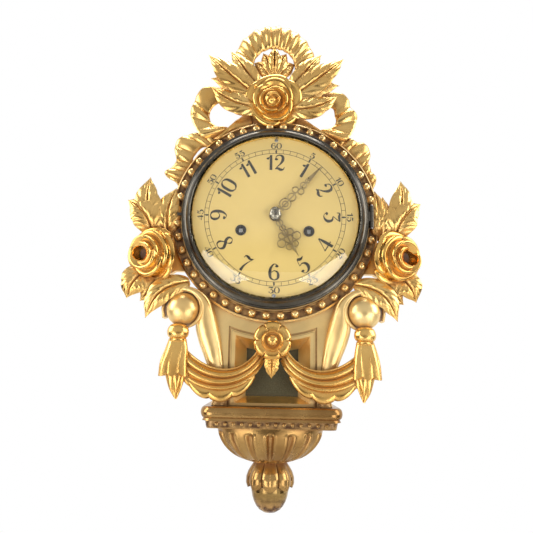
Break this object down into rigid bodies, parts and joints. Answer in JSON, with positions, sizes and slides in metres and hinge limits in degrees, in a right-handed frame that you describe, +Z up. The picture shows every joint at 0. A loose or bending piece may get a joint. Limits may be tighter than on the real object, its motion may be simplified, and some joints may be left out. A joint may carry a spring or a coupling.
{
  "type": "wall clock",
  "caption": "Giltwood cartel wall clock with rose and leaf carving, beaded ring, hinged domed glass door, swags and tassels over a windowed pedestal and an urn-shaped base.",
  "frame": {"origin": "on the wall plane, on the axis of the dial", "axes": "+X to the viewer's right, -Y out of the wall towards the viewer, +Z up"},
  "size_m": [0.2964, 0.108, 0.5106],
  "materials": {
    "gilt_wood": "gold leaf over red-brown bole on carved pine, burnished on the high parts and toned in the recesses",
    "stained_pine": "dark stained pine, matt",
    "olive_cloth": "dark olive cloth, matt",
    "dark_bronze": "dark patinated bronze, satin",
    "clear_glass": "clear, glossy",
    "gilt_brass": "satin",
    "gold_dial": "champagne gold, fine satin",
    "pale_brass": "pale gold, satin",
    "clock_brass": "brushed",
    "bright_steel": "polished",
    "black_iron": "black, satin"
  },
  "bodies": {
    "clock": {"case_body": "stained_pine", "case_front": "gilt_wood", "bead_ring": "gilt_wood", "crest_fan": "gilt_wood", "crest_palmette": "gilt_wood", "crest_leaves": "gilt_wood", "crest_rose": "gilt_wood", "left_ribbon": "gilt_wood", "right_ribbon": "gilt_wood", "left_leaves": "gilt_wood", "right_leaves": "gilt_wood", "left_rose": "gilt_wood", "right_rose": "gilt_wood", "left_bracket": "gilt_wood", "right_bracket": "gilt_wood", "left_swag": "gilt_wood", "right_swag": "gilt_wood", "left_tassel": "gilt_wood", "right_tassel": "gilt_wood", "rosette": "gilt_wood", "window_frame": "gilt_wood", "window_cloth": "olive_cloth", "urn_shelf": "gilt_wood", "urn_bowl": "gilt_wood", "acorn_cup": "gilt_wood", "acorn_nut": "gilt_wood", "back_cover": "stained_pine", "back_screws": "bright_steel", "hanger_plate": "black_iron", "hinge_leaf": "dark_bronze", "hinge_pin": "bright_steel", "dial_plate": "gold_dial", "dial_screws": "bright_steel", "winding_grommets": "black_iron", "front_plate": "clock_brass", "back_plate": "clock_brass", "pillars": "clock_brass", "gong": "black_iron", "movement_brackets": "bright_steel"},
    "door": {"door_bezel": "dark_bronze", "door_glass": "clear_glass", "glass_retainer": "gilt_brass"},
    "centre": {"centre_wheel": "clock_brass", "minute_hand": "pale_brass", "hand_nut": "bright_steel"},
    "hour": {"hour_wheel": "clock_brass", "hour_hand": "pale_brass"},
    "minute_work": {"minute_wheel": "clock_brass"},
    "time_barrel_body": {"time_barrel": "clock_brass"},
    "time_arbor_body": {"time_arbor": "bright_steel"},
    "second": {"second_wheel": "clock_brass"},
    "third": {"third_wheel": "clock_brass"},
    "escape": {"escape_wheel": "clock_brass"},
    "anchor": {"pallets": "bright_steel"},
    "pendulum": {"pendulum_rod": "clock_brass", "pendulum_bob": "clock_brass"},
    "strike_barrel_body": {"strike_barrel": "clock_brass"},
    "strike_arbor_body": {"strike_arbor": "bright_steel"},
    "pins": {"pin_wheel": "clock_brass"},
    "hammer_body": {"hammer": "bright_steel"}
  },
  "joints": [
    {"name": "door_hinge", "type": "hinge", "parent": "clock", "child": "door", "pos_m": [0.0956, -0.085, 0.001], "axis": [0, 0, 1], "range_deg": [0, 82]},
    {"name": "centre_turn", "type": "hinge", "parent": "clock", "child": "centre", "pos_m": [0, -0.05, 0], "axis": [0, 1, 0], "continuous": true},
    {"name": "hour_turn", "type": "hinge", "parent": "clock", "child": "hour", "pos_m": [0, -0.05, 0], "axis": [0, 1, 0], "continuous": true},
    {"name": "minute_work_turn", "type": "hinge", "parent": "clock", "child": "minute_work", "pos_m": [0, -0.05, -0.0192], "axis": [0, 1, 0], "continuous": true},
    {"name": "second_turn", "type": "hinge", "parent": "clock", "child": "second", "pos_m": [0.02617, -0.05, 0.01202], "axis": [0, 1, 0], "continuous": true},
    {"name": "third_turn", "type": "hinge", "parent": "clock", "child": "third", "pos_m": [-0.00187, -0.05, 0.02137], "axis": [0, 1, 0], "continuous": true},
    {"name": "escape_turn", "type": "hinge", "parent": "clock", "child": "escape", "pos_m": [0, -0.05, 0.04108], "axis": [0, 1, 0], "continuous": true},
    {"name": "time_barrel_turn", "type": "hinge", "parent": "clock", "child": "time_barrel_body", "pos_m": [0.0335, -0.05, -0.015], "axis": [0, 1, 0], "continuous": true},
    {"name": "time_winding", "type": "hinge", "parent": "clock", "child": "time_arbor_body", "pos_m": [0.0335, -0.05, -0.015], "axis": [0, 1, 0], "range_deg": [0, 2340]},
    {"name": "strike_barrel_turn", "type": "hinge", "parent": "clock", "child": "strike_barrel_body", "pos_m": [-0.0335, -0.05, -0.015], "axis": [0, 1, 0], "continuous": true},
    {"name": "strike_winding", "type": "hinge", "parent": "clock", "child": "strike_arbor_body", "pos_m": [-0.0335, -0.05, -0.015], "axis": [0, 1, 0], "range_deg": [0, 2340]},
    {"name": "pin_wheel_turn", "type": "hinge", "parent": "clock", "child": "pins", "pos_m": [-0.02617, -0.05, 0.01202], "axis": [0, 1, 0], "continuous": true},
    {"name": "pendulum_swing", "type": "hinge", "parent": "clock", "child": "pendulum", "pos_m": [0, -0.022, 0.05508], "axis": [0, 1, 0], "range_deg": [-4, 4]},
    {"name": "anchor_rock", "type": "hinge", "parent": "clock", "child": "anchor", "pos_m": [0, -0.022, 0.05508], "axis": [0, 1, 0], "range_deg": [-4, 4]},
    {"name": "hammer_lift", "type": "hinge", "parent": "clock", "child": "hammer_body", "pos_m": [-0.048, -0.012, 0.012], "axis": [0, -1, 0], "range_deg": [0, 10]}
  ],
  "couplings": [
    {"joint": "hour_turn", "follows": "centre_turn", "ratio": 0.083333},
    {"joint": "minute_work_turn", "follows": "centre_turn", "ratio": -0.33333},
    {"joint": "second_turn", "follows": "centre_turn", "ratio": -0.2},
    {"joint": "time_barrel_turn", "follows": "centre_turn", "ratio": 0.033333},
    {"joint": "third_turn", "follows": "centre_turn", "ratio": -10},
    {"joint": "escape_turn", "follows": "centre_turn", "ratio": 100},
    {"joint": "pin_wheel_turn", "follows": "strike_barrel_turn", "ratio": -6},
    {"joint": "anchor_rock", "follows": "pendulum_swing", "ratio": 1}
  ]
}
